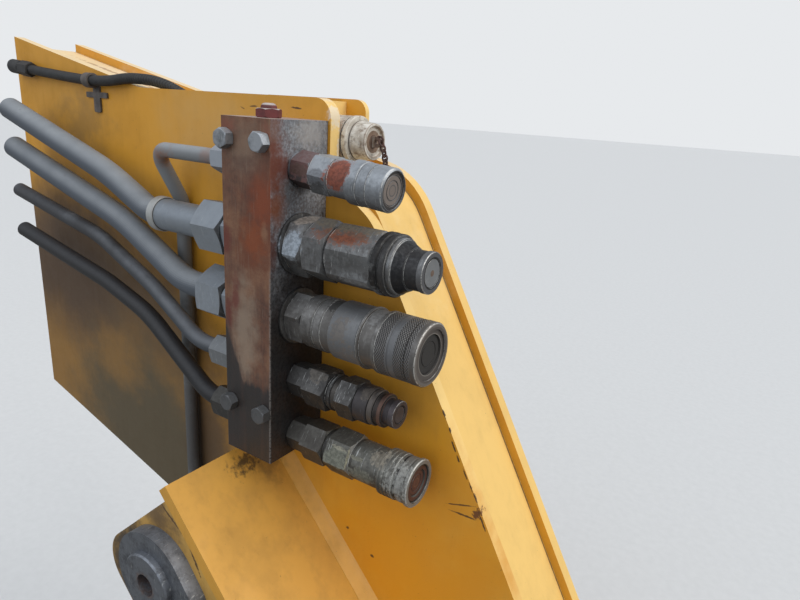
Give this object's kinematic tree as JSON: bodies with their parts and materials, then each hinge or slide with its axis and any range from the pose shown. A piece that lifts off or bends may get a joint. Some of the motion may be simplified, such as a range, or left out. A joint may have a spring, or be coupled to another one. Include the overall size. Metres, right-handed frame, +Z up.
{
  "type": "loader lift arm front end",
  "caption": "Front end of a loader lift arm: hollow plate box with pivot nose, ear with hydraulic coupler manifold and steel lines, capped socket and tilt cylinder housing.",
  "frame": {"origin": "middle of the arm box's open rear end, where the rest of the arm is welded on", "axes": "+X forward, the way the couplers point; +Y outward, away from the coupler side; +Z up"},
  "size_m": [0.7766, 0.2123, 0.7711],
  "materials": {
    "paint": "chipped yellow paint over steel",
    "galvanised": "rust-streaked zinc-plated steel",
    "steel_dark": "worn dark steel",
    "steel_bright": "satin steel",
    "line_paint": "grey painted steel tube",
    "rusty": "rusty steel",
    "plug_red": "dull maroon",
    "cast_alloy": "weathered cast alloy",
    "cable_sheath": "black braided sheath"
  },
  "bodies": {
    "arm": {"arm_inner_plate": "paint", "arm_outer_plate": "paint", "arm_top_wrap": "paint", "arm_bottom_wrap": "paint", "ear_backing_plate": "paint", "housing_cover_plate": "paint", "housing_ear_plate": "paint", "lower_pivot_boss": "paint", "tilt_pin": "steel_dark", "pin_flag": "steel_dark", "flag_bolt": "steel_dark", "manifold_block": "galvanised", "block_bolts": "steel_bright", "top_plug": "plug_red", "drain_coupler_adapter": "rusty", "drain_coupler_body": "steel_bright", "large_male_coupler_adapter": "steel_bright", "large_male_coupler_body": "steel_dark", "large_female_coupler_adapter": "steel_dark", "large_female_coupler_body": "steel_dark", "small_male_coupler_adapter": "steel_dark", "small_male_coupler_body": "steel_dark", "small_female_coupler_adapter": "steel_dark", "small_female_coupler_body": "steel_dark", "drain_line_fitting": "steel_bright", "large_male_line_fitting": "steel_bright", "large_female_line_fitting": "steel_bright", "small_male_line_fitting": "steel_dark", "small_female_line_fitting": "steel_dark", "drain_line_tube": "line_paint", "large_male_line_tube": "line_paint", "large_female_line_tube": "line_paint", "small_male_line_tube": "line_paint", "small_female_line_tube": "line_paint", "connector_plate": "paint", "connector_shell": "cast_alloy", "cable": "cable_sheath", "cable_clip": "cast_alloy", "cable_plug": "cable_sheath"},
    "drain_sleeve": {"drain_coupler_sleeve": "steel_bright"},
    "large_female_sleeve": {"large_female_coupler_sleeve": "steel_dark"},
    "small_female_sleeve": {"small_female_coupler_sleeve": "steel_bright"},
    "drain_valve": {"drain_coupler_valve": "steel_bright"},
    "large_female_valve": {"large_female_coupler_valve": "steel_dark"},
    "small_female_valve": {"small_female_coupler_valve": "rusty"},
    "large_male_poppet": {"large_male_coupler_poppet": "steel_bright"},
    "small_male_poppet": {"small_male_coupler_poppet": "steel_dark"},
    "dust_cap": {"connector_cap": "cast_alloy"}
  },
  "joints": [
    {"name": "drain_sleeve_pull", "type": "slide", "parent": "arm", "child": "drain_sleeve", "axis": [-0.9969, 0, 0.0785], "range_m": [0, 0.007], "stiffness_N_per_m": 900, "springref_m": -0.006},
    {"name": "large_female_sleeve_pull", "type": "slide", "parent": "arm", "child": "large_female_sleeve", "axis": [-1, 0, 0], "range_m": [0, 0.007], "stiffness_N_per_m": 1500, "springref_m": -0.006},
    {"name": "small_female_sleeve_pull", "type": "slide", "parent": "arm", "child": "small_female_sleeve", "axis": [-1, 0, 0], "range_m": [0, 0.007], "stiffness_N_per_m": 900, "springref_m": -0.006},
    {"name": "drain_valve_push", "type": "slide", "parent": "arm", "child": "drain_valve", "axis": [-0.9969, 0, 0.0785], "range_m": [0, 0.007], "stiffness_N_per_m": 1500, "springref_m": -0.004},
    {"name": "large_female_valve_push", "type": "slide", "parent": "arm", "child": "large_female_valve", "axis": [-1, 0, 0], "range_m": [0, 0.01], "stiffness_N_per_m": 2000, "springref_m": -0.004},
    {"name": "small_female_valve_push", "type": "slide", "parent": "arm", "child": "small_female_valve", "axis": [-1, 0, 0], "range_m": [0, 0.008], "stiffness_N_per_m": 1500, "springref_m": -0.004},
    {"name": "large_male_poppet_push", "type": "slide", "parent": "arm", "child": "large_male_poppet", "axis": [-1, 0, 0], "range_m": [0, 0.009], "stiffness_N_per_m": 2000, "springref_m": -0.004},
    {"name": "small_male_poppet_push", "type": "slide", "parent": "arm", "child": "small_male_poppet", "axis": [-1, 0, 0], "range_m": [0, 0.008], "stiffness_N_per_m": 1500, "springref_m": -0.004},
    {"name": "dust_cap_pull", "type": "slide", "parent": "arm", "child": "dust_cap", "axis": [1, 0, 0], "range_m": [0, 0.022]}
  ]
}
